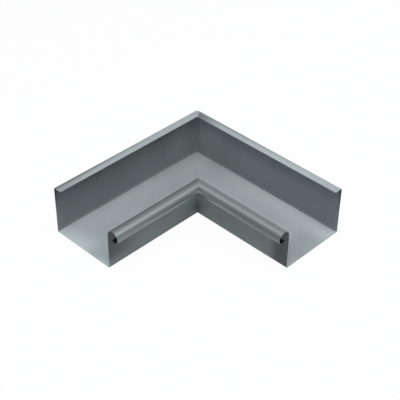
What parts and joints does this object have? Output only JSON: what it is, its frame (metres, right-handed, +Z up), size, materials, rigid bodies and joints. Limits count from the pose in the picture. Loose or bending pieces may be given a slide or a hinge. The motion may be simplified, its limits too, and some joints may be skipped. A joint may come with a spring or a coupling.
{
  "type": "internal gutter angle",
  "caption": "Right-angled corner length of a box gutter in sheet zinc, with a rolled bead along the inner side and a water fold along the outer walls.",
  "frame": {"origin": "middle of the square footprint of the L, on the plane of the underside", "axes": "+Z up; one leg runs along +X and the other along -Y from the back corner, which is at -X +Y; back walls face -X and +Y, the bead faces the space between the legs"},
  "size_m": [0.305, 0.305, 0.085],
  "materials": {
    "zinc_sheet": "satin, pre-weathered grey zinc sheet"
  },
  "bodies": {
    "root": {"gutter_angle": "zinc_sheet"}
  },
  "joints": []
}
